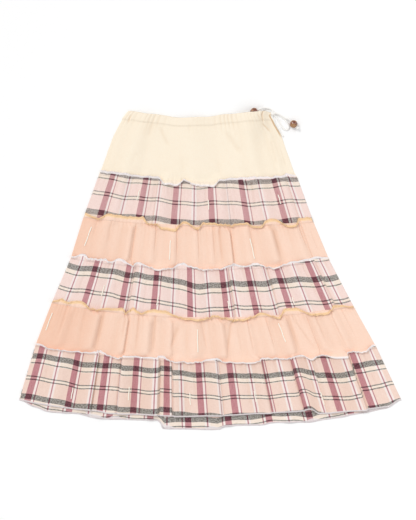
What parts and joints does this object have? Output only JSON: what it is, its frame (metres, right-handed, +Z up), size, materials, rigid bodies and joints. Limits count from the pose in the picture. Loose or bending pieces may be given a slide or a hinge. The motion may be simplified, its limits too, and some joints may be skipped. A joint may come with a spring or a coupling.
{
  "type": "drawstring skirt",
  "caption": "Long tiered gauze skirt laid flat: plain yoke with a drawstring casing, gathered plaid and plain tiers, wavy overlocked headings at the seams, cord tied in a bow with wooden beads.",
  "frame": {"origin": "on the table under the middle of the laid-out cloth, cord left out", "axes": "+X across the skirt to the side with the bow, +Y from the hem to the waist, +Z up from the table"},
  "size_m": [0.8768, 0.742, 0.0244],
  "materials": {
    "yoke_gauze": "matt cream cotton double gauze",
    "plaid_gauze": "matt pink yarn-dyed plaid gauze",
    "peach_gauze": "matt peach cotton gauze",
    "pale_heading": "plaid gauze edge overlocked in pinkish white thread",
    "buff_heading": "peach gauze edge overlocked in buff thread",
    "cord": "off-white braided cotton cord",
    "bead_wood": "turned and waxed"
  },
  "bodies": {
    "root": {"yoke_back": "yoke_gauze", "yoke_front": "yoke_gauze", "tier_2_back": "plaid_gauze", "tier_2_front": "plaid_gauze", "tier_3_back": "peach_gauze", "tier_3_front": "peach_gauze", "tier_4_back": "plaid_gauze", "tier_4_front": "plaid_gauze", "tier_5_back": "peach_gauze", "tier_5_front": "peach_gauze", "tier_6_back": "plaid_gauze", "tier_6_front": "plaid_gauze", "seam_heading_1": "pale_heading", "seam_heading_2": "buff_heading", "seam_heading_3": "pale_heading", "seam_heading_4": "buff_heading", "seam_heading_5": "pale_heading", "drawstring_side": "cord", "drawstring_loop": "cord", "drawstring_tail_left": "cord", "drawstring_tail_right": "cord", "bow_knot": "cord", "end_knot_left": "cord", "end_knot_right": "cord", "bead_left": "bead_wood", "bead_right": "bead_wood"}
  },
  "joints": []
}
